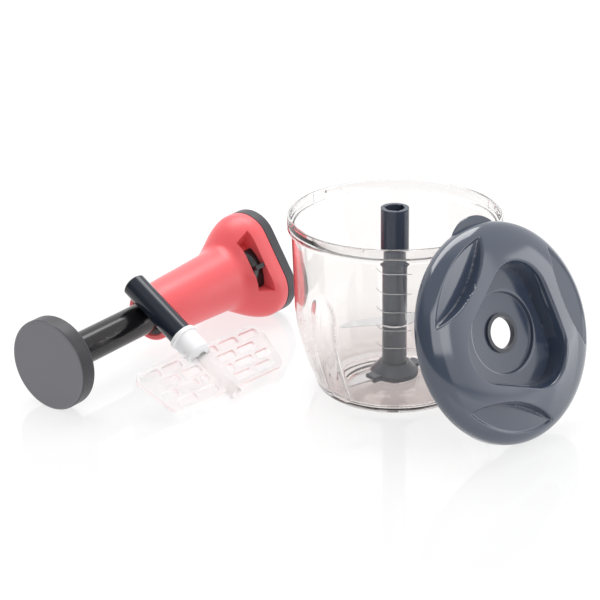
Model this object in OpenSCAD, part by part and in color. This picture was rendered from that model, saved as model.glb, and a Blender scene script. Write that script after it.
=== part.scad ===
// Plunger food chopper, taken apart for cleaning: a clear bowl with its blade unit standing in it,
// the lid leaning on the bowl, the push unit lying on its side and the whisk leaning on the push unit.
// Millimetres, +Z up. The origin is the centre of the bowl's flat underside.

/* [Bowl] */
// Height of the bowl from its underside to its rim
bowl_h = 120.7; // [112:0.1:130]
// Outer diameter of the rim band
band_d = 140; // [136:0.5:148]
// Height of the rim band
band_h = 9.4; // [7:0.1:12]
// Outer diameter of the wall just under the rim band
wall_top_d = 135; // [133:0.5:135]
// Outer diameter of the wall where it begins to draw in
wall_mid_d = 132; // [128:0.5:133]
// Height at which the wall begins to draw in
wall_mid_z = 60; // [54:1:66]
// Outer diameter of the wall just above the base corner
wall_low_d = 106; // [102:0.5:110]
// Rounding of the base corner
base_round = 7; // [5:0.5:9]
// Thickness of the bowl's wall
bowl_wall = 2.1; // [1.8:0.1:2.6]
// Thickness of the bowl's floor
bowl_floor = 3.4; // [2.6:0.1:4.2]
// Depth of the rebate under the bowl, inside its standing ring
foot_rebate = 0.8; // [0.4:0.1:1.4]
// Width of the bowl's standing ring
foot_w = 7; // [4:0.5:9]
// Height of the locking ledges inside the rim band
ledge_h = 2; // [1.5:0.1:2.6]
// How far a locking ledge stands in from the rim band
ledge_in = 1.1; // [0.8:0.1:1.4]
// Angle that one locking ledge covers
ledge_span = 11; // [8:1:16]

/* [Blade unit] */
// Diameter of the steel pin that the blade unit turns on
pin_d = 6; // [5:0.1:7]
// Height of that pin above the bowl's floor
pin_h = 24; // [18:0.5:30]
// Outer diameter of the column's drive socket
socket_d = 18.5; // [17.5:0.1:19]
// Length of the drive socket
socket_len = 36; // [30:1:42]
// Outer diameter of the column below the socket
column_d = 16.4; // [15.5:0.1:17]
// Wall of the column
column_wall = 2.2; // [1.8:0.1:2.6]
// How far the column stands above the bowl's rim
column_over = 3.5; // [2:0.1:6]
// Diameter of the drive socket's bore
socket_bore = 12.6; // [12.2:0.1:13.4]
// Diameter of the blade unit's foot
foot_d = 32; // [29:0.5:35]
// Height of the blade unit's foot
foot_h = 9; // [8:0.5:11]
// Reach of the upper blade from the axis to its tip
blade_reach_up = 38; // [32:0.5:42]
// Reach of the lower blade from the axis to its tip
blade_reach_low = 41; // [35:0.5:42]
// Thickness of the blades
blade_t = 1; // [0.8:0.1:1.4]
// Height of the upper blade above the blade unit's underside
blade_up_z = 37; // [32:0.5:44]

/* [Lid] */
// Outer diameter of the lid
lid_d = 139.7; // [136:0.1:144]
// Height of the lid's dome above its edge
dome_h = 17; // [15:0.5:20]
// Thickness of the lid's shell
lid_wall = 2.2; // [1.8:0.1:2.4]
// Thickness of the lid's edge
lid_edge = 2; // [1.6:0.1:2.6]
// Height of the recess floor above the lid's edge
well_z = 1.5; // [0.5:0.1:3]
// Diameter of the round step in the recess floor
step_d = 51; // [47:0.5:56]
// Depth of that step
step_deep = 2.5; // [1.5:0.1:3]
// Diameter of the hole in the middle of the lid
lid_hole_d = 20; // [19.6:0.1:21]
// Outer diameter of the collar round that hole
collar_d = 25; // [24:0.1:27]
// Depth of the locking ring behind the lid's edge
ring_deep = 2.2; // [1.8:0.1:3.2]
// Diameter over the locking lugs
lug_d = 135.4; // [134.6:0.1:135.4]
// Diameter of the locking ring between its lugs
ring_d = 130; // [128:0.1:131]
// Radial width of the locking ring at its lugs
ring_w = 5.1; // [4.7:0.1:6.1]
// Angle of the gap between two locking lugs
lug_gap = 10; // [7:1:16]
// Radius of the thumb tab's round end
tab_r = 24; // [20:0.5:26]
// Reach of the thumb tab from the lid's centre
tab_reach = 75.5; // [73:0.5:78]
// How far the lid leans back from upright
lid_lean = 21.65; // [16:0.05:28]
// Direction that the lid's top faces, from the +X axis
lid_az = -50.1; // [-60:0.1:-40]

/* [Push unit] */
// Length of the push unit from the knob's face to the base plate
push_len = 218.3; // [206:0.1:230]
// Diameter of the knob
knob_d = 62; // [56:0.5:64]
// Thickness of the knob
knob_t = 12.6; // [11:0.1:15]
// Length of the knob's side that its cap covers
cap_t = 8.4; // [7:0.1:9]
// Rounding of the knob's edges
knob_round = 2; // [1:0.1:2.5]
// Outer diameter of the plunger's shaft
shaft_d = 22.6; // [21.6:0.1:23]
// Wall of the plunger's shaft
shaft_wall = 2.4; // [2:0.1:2.6]
// Travel of the plunger
travel = 62; // [50:0.5:64]
// Distance from the knob's face to the barrel's mouth
mouth_at = 101.5; // [100:0.5:106]
// Outer diameter of the barrel at its mouth
mouth_d = 37.8; // [36.6:0.1:40]
// Outer diameter of the barrel where the flange begins to spread
barrel_d = 45.6; // [44:0.1:48]
// Wall of the casing
case_wall = 2.3; // [2:0.1:2.6]
// Length over which the barrel spreads into the flange
spread_len = 21; // [18:0.5:24]
// Length of the flange's coral edge
flange_edge = 8; // [6:0.5:10]
// Thickness of the grey base plate
base_t = 8.3; // [7:0.1:10]
// Radius of each of the flange's three lobes
lobe_r = 23; // [22:0.1:24.5]
// Distance of the lobe centres from the axis
lobe_at = 19.1; // [17.5:0.1:20]
// Direction of the push unit on the floor, from the +X axis
push_az = 53.4; // [48:0.1:58]
// Position of the knob's face along X
knob_x = -227.5; // [-240:0.5:-220]
// Position of the knob's face along Y
knob_y = -33; // [-45:0.5:-25]
// Angle that the lock switch covers
switch_span = 62; // [54:1:66]
// Angle that the lock switch turns through
switch_turn = 12; // [8:1:20]
// Width of the lock switch along the barrel
switch_w = 9; // [8:0.1:9.6]

/* [Drive] */
// Width of the twisted drive strip
strip_w = 7; // [6.4:0.1:7.4]
// Thickness of the twisted drive strip
strip_t = 2.6; // [2.2:0.1:3]
// Length in which the strip makes one turn
strip_pitch = 48; // [40:1:60]
// Diameter of the return spring's wire
wire_d = 1.4; // [1:0.1:1.6]
// Number of turns in the return spring
spring_turns = 13; // [9:1:14]
// Diameter of the output spigot
spigot_d = 11.8; // [11.4:0.1:12]
// How far the output spigot stands out of the base plate
spigot_out = 15; // [10:0.5:18]

/* [Whisk] */
// Length of the whisk from its pivot boss to the top of its tube
whisk_len = 110.5; // [104:0.5:118]
// Outer diameter of the whisk's tube
tube_d = 17; // [16:0.1:18]
// Diameter of the whisk's pivot boss
boss_d = 9.2; // [8:0.1:10]
// Height of the hub's lower end above the boss's end
hub_at = 37; // [34:0.5:42]
// Length of the hub's body
hub_len = 20; // [17:0.5:22]
// Diameter of the hub's collar
hub_d = 20; // [19:0.1:21]
// Height of the paddle's lower edge above the boss's end
paddle_at = 4.5; // [3:0.1:6]
// Height of the paddle
paddle_h = 39; // [34:0.5:42]
// Half the width of the paddle at its upper edge
paddle_top = 59; // [52:0.5:62]
// Half the width of the paddle at its lower edge
paddle_low = 50; // [44:0.5:54]
// Thickness of the paddle
paddle_t = 2.4; // [1.8:0.1:3]
// Distance of the whisk's foot from the push unit's axis
whisk_out = 91.7; // [86:0.1:98]
// Distance of the whisk's foot along the push unit from the knob's face
whisk_along = 80.7; // [79:0.1:84]
// Turn of the whisk away from square to the push unit
whisk_turn = -6.8; // [-9:0.1:-3]

/* [Fits] */
// Radial clearance of a part that turns or slides in its bearing
run = 0.06; // [0.02:0.01:0.1]
// Gap between separate pieces that only lie against each other
gap = 0.3; // [0.3:0.05:0.5]

/* [Hidden] */
$fn = 96;
// How far a cut runs past the face it opens
past = 1;

// Directions of the flange's lobes, the lid's recess, the lid's scoops and the bowl's ledges
lobe_count = 3;
lobe_turn = 360 / lobe_count;
function all_round(first) = [for (i = [0 : lobe_count - 1]) first + i * lobe_turn];
lobe_angles = all_round(90);
recess_angles = all_round(-80);
ledge_angles = all_round(-115);
scoop_angles = all_round(-140);
lobe_steps = 24;

// Bowl
floor_z = bowl_floor + foot_rebate;
base_flat_r = wall_low_d / 2 - base_round;
band_z = bowl_h - band_h;
band_shelf = 2;
band_inner_r = band_d / 2 - bowl_wall;
wall_curve = 1.7;
wall_steps = 14;
corner_steps = 6;
inner_round = 6;
inner_low_z = floor_z + inner_round;
pin_boss_r = 8;
pin_boss_h = 3;
pin_seat_z = foot_rebate + 1.6;
pin_top_z = floor_z + pin_boss_h + pin_h;
pin_tip = 1.2;

function wall_r(z) = z >= wall_mid_z
  ? wall_mid_d / 2 + (wall_top_d - wall_mid_d) / 2 * (z - wall_mid_z) / (band_z - wall_mid_z)
  : wall_mid_d / 2 - (wall_mid_d - wall_low_d) / 2
    * pow((wall_mid_z - z) / (wall_mid_z - base_round), wall_curve);
inner_low_r = wall_r(inner_low_z) - bowl_wall;

// Blade unit
hub_z = floor_z + pin_boss_h + gap;
column_top = bowl_h + column_over;
socket_z = column_top - socket_len;
socket_deep = 26;
socket_taper = 6;
bush_d = pin_d + 4;
bush_len = 19;
bush_cap = 2;
hollow_d = column_d - 2 * column_wall;
notch_w = 1.8;
notch_deep = 0.9;
notch_count = 3;
notch_len = 22;
notch_turn = 45;
foot_skirt = 4.2;
foot_edge = 3;
column_seat = hub_z + foot_skirt;
wing_reach = 21;
wing_w = 9;
wing_h = 3.6;
blade_low_z = hub_z + 1.4;
blade_ring_r = 11;
blade_root_r = 9;
blade_turn_up = 193;
blade_turn_low = 217;
blade_bend = 20;

// Lid
lid_r = lid_d / 2;
lid_depth = lid_edge + ring_deep;
lid_z = lid_r * cos(lid_lean) + lid_edge * sin(lid_lean);
lid_rim = 7.25;
cavity_rim_r = lid_r - lid_rim;
dome_steps = 14;
dome_edge_h = 1.2;
well_gap = 0.4;
scoop_r = lid_r - 7.35;
scoop_half = 33;
scoop_in = scoop_r - 18.5;
scoop_rim_z = 10;
scoop_slope = 7.5;
scoop_high = 14;
scoop_chord = scoop_r * sin(scoop_half);
scoop_bulge = scoop_r * cos(scoop_half) - scoop_in;
scoop_arc = (scoop_chord * scoop_chord + scoop_bulge * scoop_bulge) / (2 * scoop_bulge);
well_floor_t = lid_wall;
well_low_z = well_z - step_deep - well_floor_t;
well_reach = lobe_at + lobe_r + well_gap + lid_wall + 1;
collar_top = well_z - step_deep + 1.6;
tab_az = 181.5;
tab_t = 1.8;
ring_r = ring_d / 2;
ring_in_r = lug_d / 2 - ring_w;
// Where the bowl's rim meets the back of the leaning lid, a little to one side of its middle
lid_side = 2;
rim_up = (bowl_h - lid_z + lid_depth * sin(lid_lean)) / cos(lid_lean);
rim_side = max(sqrt(max(ring_in_r * ring_in_r - rim_up * rim_up, 0)) - lid_side, 0);
rim_near = sqrt(band_d * band_d / 4 - rim_side * rim_side);
lid_out = rim_near + gap + lid_depth * cos(lid_lean) + rim_up * sin(lid_lean);

// Push unit, measured along its axis from the knob's face
knob_r = knob_d / 2;
flange_flat = lobe_at / 2 + lobe_r;
base_at = push_len - base_t;
edge_at = base_at - flange_edge;
spread_at = edge_at - spread_len;
push_rise = atan((flange_flat - knob_r) / edge_at);
push_z = knob_r * cos(push_rise);
shaft_r = shaft_d / 2;
shaft_bore_r = shaft_r - shaft_wall;
cap_skin = 4;
cap_skirt = 3;
shaft_from = cap_skin + 2.4;
shaft_to = mouth_at + 17;
guide_len = 12;
guide_r = shaft_r + 3.2;
guide_set = 1;
lip_round = 1.5;
cavity_r = barrel_d / 2 - case_wall;
cavity_mouth_r = mouth_d / 2 - case_wall + 0.4;
// Each section of the spread: share of its length, share of the lobes' reach
spread_steps = [[0, 0], [0.2, 0.33], [0.43, 0.61], [0.72, 0.89], [1, 1]];
hull_sides = 40;
slice = 0.02;
switch_mid = 156;
switch_in = cavity_r + 3.7;
switch_out = switch_in + 3.4;
switch_at = edge_at - 14.6;
ridge_h = 3.2;
ridge_span = 6;
pocket_gap = 0.4;
pocket_out = lobe_at + lobe_r;
stem_w = 2.6;
stem_span = 26;
collar_in = 14.4;
collar_out = collar_in + 3.2;
collar_at = switch_at + (switch_w - stem_w) / 2;
boss_in = 11.4;
boss_out = boss_in + 2;
bearing_at = collar_at + stem_w + 2.2;
bearing_h = 3.6;
screw_at = 27;
screw_d = 3;
screw_head_d = 6;
screw_head_h = 2.4;
screw_sink = 3;
screw_len = 12;
pillar_d = 7.6;

// Drive
nut_at = mouth_at - 4.5;
nut_h = 10;
nut_gap = 0.35;
rod_top = nut_at - 2.5;
journal_r = 3;
cup_at = bearing_at + bearing_h + 1;
cup_to = base_at - 0.6;
cup_r = boss_in - 0.5;
cup_wall = 1.8;
cup_floor = 2.4;
driver_h = 4;
strip_len = bearing_at - gap - rod_top;
strip_slices = 90;
spring_from = nut_at + nut_h + gap;
spring_to = bearing_at - gap;
spring_r = strip_w / 2 + 0.9 + wire_d / 2;
wire_sides = 6;
turn_steps = 10;
spigot_r = spigot_d / 2;
bush_out = spigot_r + 2.6;
spline_w = 1.3;
spline_h = 0.7;
spline_len = 10;

// Whisk
boss_r = boss_d / 2;
tube_r = tube_d / 2;
axis_z = push_z + (whisk_along - whisk_out * tan(whisk_turn)) * sin(push_rise);
rest_gap = shaft_r + tube_r + gap;
// Lean at which the tube rests on the shaft, for a foot whose centre is at height z
function lean_for(z) = atan(cos(whisk_turn) * tan(
  atan((axis_z - z) / whisk_out) + asin(rest_gap / norm([whisk_out, axis_z - z]))));
whisk_lean = lean_for(boss_r * cos(lean_for(boss_r)));
whisk_z = boss_r * cos(whisk_lean);
whisk_x = knob_x + whisk_along * cos(push_az) + whisk_out * sin(push_az);
whisk_y = knob_y + whisk_along * sin(push_az) - whisk_out * cos(push_az);
tube_bore_r = socket_bore / 2;
tube_bore_deep = 26;
tube_core_r = 5;
boss_h = 14;
boss_bore_r = pin_d / 2 + 0.2;
boss_bore_deep = 9;
spine_r = 4;
spine_in = 6;
hub_r = hub_d / 2;
hub_body_r = hub_r - 0.9;
hub_collar_h = 3;
hub_tip_r = 7.4;
tube_in = 6;
corner_r = 8;
slot_rows = 4;
slot_len = 16;
slot_w = 6.2;
slot_round = 1.6;
slot_pitch_x = 19.2;
slot_pitch_z = 8.9;
slot_margin = 4.4;
slot_shortest = 4.5;

coral = [0.98, 0.47, 0.49];
slate = [0.36, 0.40, 0.47];
dark_slate = [0.24, 0.27, 0.33];
graphite = [0.35, 0.345, 0.37];
shaft_black = [0.17, 0.165, 0.18];
steel = [0.80, 0.81, 0.83];
clear = [0.93, 0.90, 0.89, 0.35];
white = [0.95, 0.95, 0.96];

// Places the lid: its own +Z is the way its top faces, and its own -X runs up its slope
module place_lid()
  rotate([0, 0, lid_az])
    translate([lid_out, lid_side, lid_z])
      rotate([0, 90 - lid_lean, 0]) children();

// Places the push unit: its own +Z runs from the knob's face to the base, and its own +Y is up
module place_push()
  translate([knob_x, knob_y, push_z])
    rotate([90 - push_rise, 0, push_az + 90]) children();

// Places the whisk: its own +Z runs up its tube, and its own +X lies along the paddle
module place_whisk()
  translate([whisk_x, whisk_y, whisk_z])
    rotate([whisk_lean - 90, 0, push_az + whisk_turn]) children();

// A round tube on the Z axis
module tube(outer, inner, h)
  difference() {
    cylinder(r = outer, h = h);
    translate([0, 0, -past]) cylinder(r = inner, h = h + 2 * past);
  }

// A wedge of a ring, centred on the direction mid
module ring_wedge(outer, inner, h, span, mid)
  rotate([0, 0, mid - span / 2])
    rotate_extrude(angle = span) translate([inner, 0]) square([outer - inner, h]);

// The outline with three round lobes that the flange and the lid's recess share
module three_lobes(at, r, angles)
  polygon([for (a = angles) for (i = [0 : lobe_steps]) let (t = a + lobe_turn * (i / lobe_steps - 1 / 2))
    [at * cos(a) + r * cos(t), at * sin(a) + r * sin(t)]]);

// Points along an arc, for outlines
function arc(x, y, r, from, to, steps) = [
  for (i = [0 : steps]) let (a = from + (to - from) * i / steps) [x + r * cos(a), y + r * sin(a)]
];

// Clear bowl with its standing ring, pin boss, rim band and three locking ledges
module bowl_shell()
  color(clear) {
    difference() {
      rotate_extrude() polygon(concat(
        [[0, foot_rebate], [base_flat_r - foot_w, foot_rebate], [base_flat_r - foot_w, 0]],
        arc(base_flat_r, base_round, base_round, -90, 0, corner_steps),
        [for (i = [1 : wall_steps])
          let (z = base_round + (band_z - base_round) * i / wall_steps) [wall_r(z), z]],
        [[band_d / 2, band_z], [band_d / 2, bowl_h], [band_inner_r, bowl_h],
          [band_inner_r, band_z + band_shelf], [wall_top_d / 2 - bowl_wall, band_z + band_shelf]],
        [for (i = [0 : wall_steps - 1])
          let (z = band_z - (band_z - inner_low_z) * i / wall_steps) [wall_r(z) - bowl_wall, z]],
        arc(inner_low_r - inner_round, inner_low_z, inner_round, 0, -90, corner_steps),
        [[pin_boss_r, floor_z], [pin_boss_r, floor_z + pin_boss_h], [0, floor_z + pin_boss_h]]
      ));
      translate([0, 0, pin_seat_z]) cylinder(d = pin_d, h = bowl_h);
    }
    for (a = ledge_angles)
      translate([0, 0, bowl_h - ledge_h - 1.2])
        ring_wedge(band_inner_r + 0.4, band_inner_r - ledge_in, ledge_h, ledge_span, a);
  }

// Steel pin pressed into the bowl's boss
module bowl_pin()
  color(steel) translate([0, 0, pin_seat_z]) {
    cylinder(d = pin_d, h = pin_top_z - pin_seat_z - pin_tip);
    translate([0, 0, pin_top_z - pin_seat_z - pin_tip])
      cylinder(d1 = pin_d, d2 = pin_d - 2 * pin_tip, h = pin_tip);
  }

// Hollow column that carries the blades, with its drive socket at the top
module blade_column()
  color(dark_slate) difference() {
    rotate_extrude() polygon([
      [bush_d / 2, column_seat], [column_d / 2, column_seat],
      [column_d / 2, socket_z - socket_taper], [socket_d / 2, socket_z],
      [socket_d / 2, column_top], [socket_bore / 2, column_top],
      [socket_bore / 2, column_top - socket_deep], [hollow_d / 2, column_top - socket_deep],
      [hollow_d / 2, hub_z + bush_len + bush_cap], [bush_d / 2, hub_z + bush_len + bush_cap]
    ]);
    for (i = [0 : notch_count - 1])
      rotate([0, 0, notch_turn + i * 360 / notch_count])
        translate([0, -notch_w / 2, column_top - notch_len])
          cube([socket_bore / 2 + notch_deep, notch_w, notch_len + past]);
  }

// Plain bearing bush that turns on the bowl's pin
module blade_bush()
  color(white) translate([0, 0, hub_z]) tube(bush_d / 2, pin_d / 2 + run, bush_len);

// Moulded foot that grips the column's end, the bush and the lower blade
module blade_foot()
  color(dark_slate) difference() {
    union() {
      rotate_extrude() polygon([
        [bush_d / 2, hub_z], [foot_d / 2, hub_z], [foot_d / 2, hub_z + foot_edge],
        [column_d / 2 + 1.8, hub_z + foot_h], [column_d / 2, hub_z + foot_h],
        [column_d / 2, column_seat], [bush_d / 2, column_seat]
      ]);
      difference() {
        for (side = [0, 180])
          rotate([0, 0, blade_turn_low + side])
            translate([0, -wing_w / 2, hub_z]) cube([wing_reach, wing_w, wing_h]);
        cylinder(d = foot_d - 1, h = bowl_h);
      }
    }
    blade_lower();
  }

// One blade arm that runs out along +X, with its cutting edge on the -Y side
module blade_arm(reach)
  linear_extrude(blade_t) polygon([
    [0, -7], [0.3 * reach, -7.6], [0.62 * reach, -6.8], [0.86 * reach, -4], [reach, 1],
    [0.9 * reach, 2.2], [0.66 * reach, 2.6], [0.35 * reach, 4.2], [0, 6]
  ]);

// Lower blade: two arms and a ring in one strip of steel
module blade_lower()
  color(steel) translate([0, 0, blade_low_z]) difference() {
    union() {
      cylinder(r = blade_ring_r, h = blade_t);
      for (side = [0, 180]) rotate([0, 0, blade_turn_low + side]) blade_arm(blade_reach_low);
    }
    translate([0, 0, -past]) cylinder(d = bush_d, h = blade_t + 2 * past);
  }

// Upper blade: its ring grips the column, one arm is flat and the other bends up
module blade_upper()
  color(steel) translate([0, 0, hub_z + blade_up_z]) difference() {
    union() {
      cylinder(r = blade_ring_r, h = blade_t);
      rotate([0, 0, blade_turn_up]) blade_arm(blade_reach_up);
      rotate([0, 0, blade_turn_up + 180]) translate([blade_root_r, 0, 0])
        rotate([0, -blade_bend, 0]) blade_arm(blade_reach_up - blade_root_r);
    }
    translate([0, 0, -blade_reach_up]) cylinder(d = column_d, h = 2 * blade_reach_up);
  }

// Finger scoop: a lens between the lid's edge and its recess, on a floor that slopes inward
module scoop(angle, grow, drop)
  rotate([0, 0, angle]) translate([scoop_r, 0, scoop_rim_z - drop]) rotate([0, -scoop_slope, 0])
    translate([-scoop_r, 0, 0]) linear_extrude(scoop_high) intersection() {
      circle(r = scoop_r + grow);
      translate([scoop_in + scoop_arc, 0]) circle(r = scoop_arc + grow);
    }

// Outline of the lid's dome: its edge at height low, and its crown at height high
function dome_line(r, high, low) = concat([[r, low]],
  [for (i = [0 : dome_steps]) let (a = 90 * i / dome_steps)
    [r * sqrt(max(cos(a), 0)), dome_edge_h + (high - dome_edge_h) * sin(a)]]);

// Lid: a domed shell with the recess that the push unit docks in, three scoops and a thumb tab
module lid_cover()
  color(slate) place_lid() difference() {
    union() {
      rotate_extrude() polygon(concat(
        [[0, well_low_z], [well_reach, well_low_z], [well_reach, -lid_edge]],
        dome_line(lid_r, dome_h, -lid_edge)));
      rotate([0, 0, tab_az]) translate([tab_reach - tab_r, 0, -lid_edge])
        cylinder(r = tab_r, h = tab_t);
    }
    difference() {
      rotate_extrude() polygon(concat([[0, well_low_z - past]],
        dome_line(cavity_rim_r, dome_h - lid_wall, well_low_z - past)));
      translate([0, 0, well_low_z]) linear_extrude(dome_h)
        three_lobes(lobe_at, lobe_r + well_gap + lid_wall, recess_angles);
      for (a = scoop_angles) scoop(a, lid_wall, lid_wall);
    }
    translate([0, 0, well_z]) linear_extrude(dome_h)
      three_lobes(lobe_at, lobe_r + well_gap, recess_angles);
    translate([0, 0, well_z - step_deep]) cylinder(d = step_d, h = dome_h);
    translate([0, 0, well_low_z - past]) cylinder(d = collar_d, h = dome_h);
    for (a = scoop_angles) scoop(a, 0, 0);
  }

// Locking ring behind the lid's edge, with three long lugs
module lid_ring()
  color(slate) place_lid() translate([0, 0, -lid_depth]) {
    tube(ring_r, ring_in_r, ring_deep);
    for (a = recess_angles)
      ring_wedge(lug_d / 2, ring_in_r + ring_w / 4, ring_deep, lobe_turn - lug_gap, a);
  }

// Collar ring that lines the hole in the middle of the lid
module lid_bush()
  color(graphite) place_lid() translate([0, 0, well_low_z])
    tube(collar_d / 2, lid_hole_d / 2, collar_top - well_low_z);

// One thin section of the barrel's spread into the flange
module spread_section(share)
  translate([0, 0, spread_at + share[0] * spread_len])
    linear_extrude(slice) three_lobes(share[1] * lobe_at,
      barrel_d / 2 + share[1] * (lobe_r - barrel_d / 2), lobe_angles);

// Coral casing: barrel, spread and flange, hollow, with the lock switch's pocket and slot
module push_casing()
  color(coral) place_push() difference() {
    union() {
      rotate_extrude() polygon(concat(
        [[0, mouth_at]],
        arc(mouth_d / 2 - lip_round, mouth_at + lip_round, lip_round, -90, 0, corner_steps),
        [[barrel_d / 2, spread_at + slice], [0, spread_at + slice]]
      ));
      for (i = [0 : len(spread_steps) - 2])
        hull() {
          spread_section(spread_steps[i]);
          spread_section(spread_steps[i + 1]);
        }
      translate([0, 0, edge_at]) linear_extrude(flange_edge)
        three_lobes(lobe_at, lobe_r, lobe_angles);
    }
    rotate_extrude() polygon([
      [0, mouth_at - past], [guide_r, mouth_at - past],
      [guide_r, mouth_at + guide_set + guide_len],
      [cavity_mouth_r, mouth_at + guide_set + guide_len],
      [cavity_r, spread_at], [cavity_r, base_at + past], [0, base_at + past]
    ]);
    difference() {
      translate([0, 0, edge_at]) linear_extrude(flange_edge + past)
        three_lobes(lobe_at, lobe_r - case_wall, lobe_angles);
      for (a = lobe_angles)
        rotate([0, 0, a]) translate([screw_at, 0, edge_at - past])
          cylinder(d = pillar_d, h = flange_edge + 2 * past);
    }
    for (a = lobe_angles)
      rotate([0, 0, a]) translate([screw_at, 0, base_at - screw_len + base_t - screw_sink])
        cylinder(d = screw_d, h = screw_len);
    translate([0, 0, switch_at - pocket_gap])
      ring_wedge(pocket_out, switch_in - pocket_gap, switch_w + 2 * pocket_gap,
        switch_span + switch_turn + 4, switch_mid - switch_turn / 2);
    translate([0, 0, collar_at - pocket_gap])
      ring_wedge(switch_in + past, cavity_r - past, stem_w + 2 * pocket_gap,
        stem_span + switch_turn + 4, switch_mid - switch_turn / 2);
  }

// Grey base plate with the boss that carries the drive
module casing_base()
  color(graphite) place_push() difference() {
    union() {
      translate([0, 0, base_at]) linear_extrude(base_t) three_lobes(lobe_at, lobe_r, lobe_angles);
      translate([0, 0, bearing_at + bearing_h]) cylinder(r = boss_out, h = base_at - bearing_at);
    }
    translate([0, 0, bearing_at]) cylinder(r = boss_in, h = base_at - bearing_at);
    translate([0, 0, base_at - past]) cylinder(r = bush_out, h = base_t + 2 * past);
    for (a = lobe_angles)
      rotate([0, 0, a]) translate([screw_at, 0, base_at - past]) {
        cylinder(d = screw_d + 2 * gap, h = base_t + 2 * past);
        translate([0, 0, past + base_t - screw_sink])
          cylinder(d = screw_head_d + 2 * gap, h = screw_sink + past);
      }
  }

// Three screws that hold the base plate to the casing
module base_screws()
  color(steel) place_push() for (a = lobe_angles)
    rotate([0, 0, a]) translate([screw_at, 0, push_len - screw_sink]) {
      cylinder(d = screw_head_d, h = screw_head_h);
      translate([0, 0, -screw_len]) cylinder(d = screw_d, h = screw_len);
    }

// Ring in the barrel's mouth that guides the plunger's shaft
module guide_ring()
  color(shaft_black) place_push() translate([0, 0, mouth_at + guide_set])
    tube(guide_r, shaft_r + run, guide_len);

// Bearing that holds the drive rod's journal and seats the spring
module rod_bearing()
  color(white) place_push() translate([0, 0, bearing_at])
    tube(boss_out, journal_r + run, bearing_h);

// Bush in the base plate that the output spigot turns in
module base_bush()
  color(white) place_push() translate([0, 0, base_at]) tube(bush_out, spigot_r + run, base_t);

// Lock switch: a curved slider with a thumb ridge, and the stem that reaches inside
module lock_switch()
  color(shaft_black) place_push() {
    translate([0, 0, switch_at]) {
      ring_wedge(switch_out, switch_in, switch_w, switch_span, switch_mid);
      ring_wedge(switch_out + ridge_h, switch_out - 1, switch_w, ridge_span, switch_mid);
    }
    translate([0, 0, collar_at])
      ring_wedge(switch_in + 1, collar_out, stem_w, stem_span, switch_mid);
  }

// Lock collar: the ring inside the casing that the switch turns
module lock_collar()
  color(white) place_push() translate([0, 0, collar_at]) tube(collar_out, collar_in, stem_w);

// Cap on the knob: its face and a skirt round the knob's side
module knob_cap()
  color(graphite) place_push() rotate_extrude() polygon(concat(
    [[0, 0]],
    arc(knob_r - knob_round, knob_round, knob_round, -90, 0, corner_steps),
    [[knob_r, cap_t], [knob_r - cap_skirt, cap_t], [knob_r - cap_skirt, cap_skin], [0, cap_skin]]
  ));

// Body of the knob, with the socket that the shaft is pressed into
module knob_body()
  color(graphite) place_push() rotate_extrude() polygon(concat(
    [[0, cap_skin], [knob_r - cap_skirt, cap_skin], [knob_r - cap_skirt, cap_t], [knob_r, cap_t]],
    arc(knob_r - knob_round, knob_t - knob_round, knob_round, 0, 90, corner_steps),
    [[shaft_r, knob_t], [shaft_r, shaft_from], [0, shaft_from]]
  ));

// Tubular shaft of the plunger
module plunger_shaft()
  color(shaft_black) place_push() translate([0, 0, shaft_from])
    tube(shaft_r, shaft_bore_r, shaft_to - shaft_from);

// The twisted strip, or the space that it needs when grow is more than zero
module twisted_strip(grow)
  translate([0, 0, rod_top])
    linear_extrude(strip_len, twist = 360 * strip_len / strip_pitch, slices = strip_slices, $fn = 8)
      square([strip_w + 2 * grow, strip_t + 2 * grow], center = true);

// Nut in the shaft, with the twisted slot that turns the strip
module drive_nut()
  color(white) place_push() difference() {
    translate([0, 0, nut_at]) cylinder(r = shaft_bore_r, h = nut_h);
    twisted_strip(nut_gap);
  }

// Twisted steel strip with a round journal at its lower end
module drive_rod()
  color(steel) place_push() {
    twisted_strip(0);
    translate([0, 0, rod_top + strip_len])
      cylinder(r = journal_r, h = cup_at + driver_h - rod_top - strip_len);
  }

// Clutch disc fixed to the rod's journal
module clutch_driver()
  color(white) place_push() translate([0, 0, cup_at])
    tube(cup_r - cup_wall - gap, journal_r, driver_h);

// Coupler: the clutch's cup and the splined spigot that drives the blade unit
module output_coupler()
  color(white) place_push() {
    translate([0, 0, cup_at]) difference() {
      cylinder(r = cup_r, h = cup_to - cup_at);
      translate([0, 0, -past])
        cylinder(r = cup_r - cup_wall, h = past + cup_to - cup_at - cup_floor);
    }
    translate([0, 0, cup_to - 1]) cylinder(r = spigot_r, h = push_len + spigot_out - cup_to + 1);
    for (i = [0 : notch_count - 1])
      rotate([0, 0, i * 360 / notch_count])
        translate([0, -spline_w / 2, push_len + spigot_out - spline_len])
          cube([spigot_r + spline_h, spline_w, spline_len]);
  }

// Coil spring that pushes the plunger out
module return_spring() {
  steps = spring_turns * turn_steps;
  rise = (spring_to - spring_from - wire_d) / steps;
  points = [for (i = [0 : steps]) for (j = [0 : wire_sides - 1])
    let (turn = i * 360 / turn_steps, around = j * 360 / wire_sides,
      r = spring_r + wire_d / 2 * cos(around))
    [r * cos(turn), r * sin(turn),
      spring_from + wire_d / 2 + i * rise + wire_d / 2 * sin(around)]];
  sides = [for (i = [0 : steps - 1]) for (j = [0 : wire_sides - 1])
    let (a = i * wire_sides + j, b = i * wire_sides + (j + 1) % wire_sides)
    each [[a, a + wire_sides, b], [b, a + wire_sides, b + wire_sides]]];
  first = [for (j = [1 : wire_sides - 2]) [0, j, j + 1]];
  last = [for (j = [1 : wire_sides - 2])
    let (k = steps * wire_sides) [k, k + j + 1, k + j]];
  color(steel) place_push() polyhedron(points, concat(sides, first, last));
}

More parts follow.
